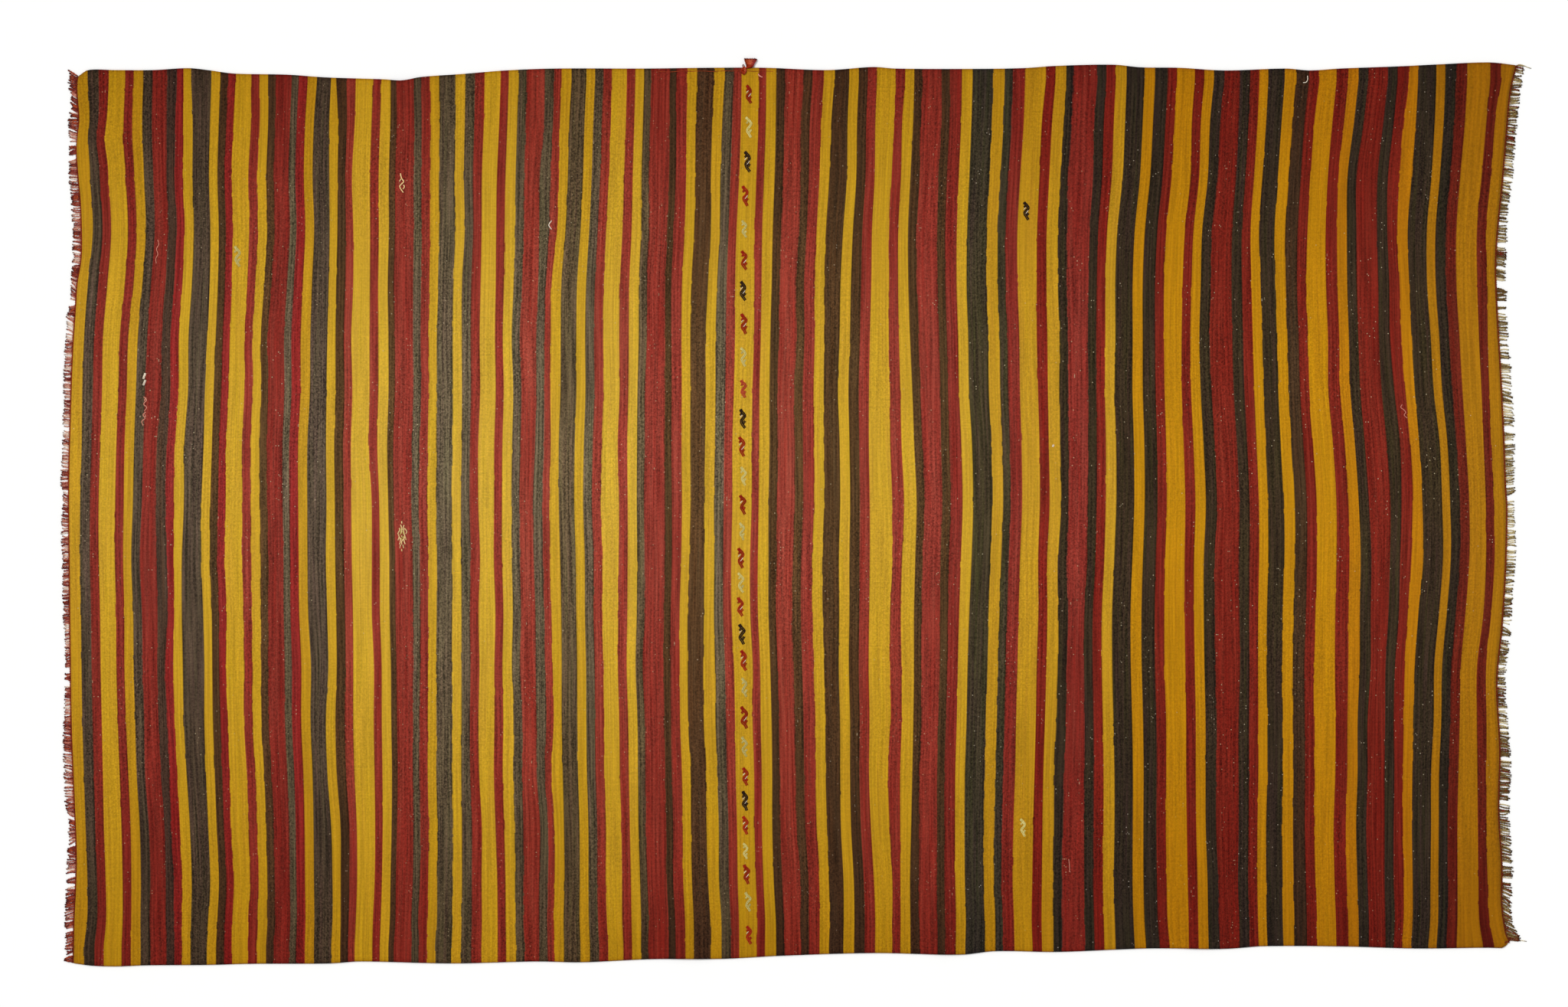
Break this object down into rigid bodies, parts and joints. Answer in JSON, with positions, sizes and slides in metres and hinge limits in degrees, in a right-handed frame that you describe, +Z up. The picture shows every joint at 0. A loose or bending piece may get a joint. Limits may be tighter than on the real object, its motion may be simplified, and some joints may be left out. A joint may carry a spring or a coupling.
{
  "type": "turkish kilim",
  "caption": "Flat-woven wool kilim with yellow, red and dark weft stripes, small hook motifs in its middle stripe, a short warp fringe at each end and a tassel on one selvedge.",
  "frame": {"origin": "on the floor, under the middle of the whole kilim's reach, fringes and tassel included", "axes": "+X along the warps towards the right end, +Y along the wefts towards the selvedge with the tassel, +Z up from the floor"},
  "size_m": [3.1204, 1.9252, 0.0075],
  "materials": {
    "field_wool": "matt weft-faced plain weave in golden yellow, madder red and grey to near-black brown stripes",
    "fringe_left_yarn": "matt twisted warp ends, dusty red with dark tips",
    "fringe_right_yarn": "matt twisted warp ends, beige to grey with dark tips",
    "tassel_wool": "matt loose wool, orange red"
  },
  "bodies": {
    "root": {"field": "field_wool", "fringe_left": "fringe_left_yarn", "fringe_right": "fringe_right_yarn", "tassel": "tassel_wool"}
  },
  "joints": []
}
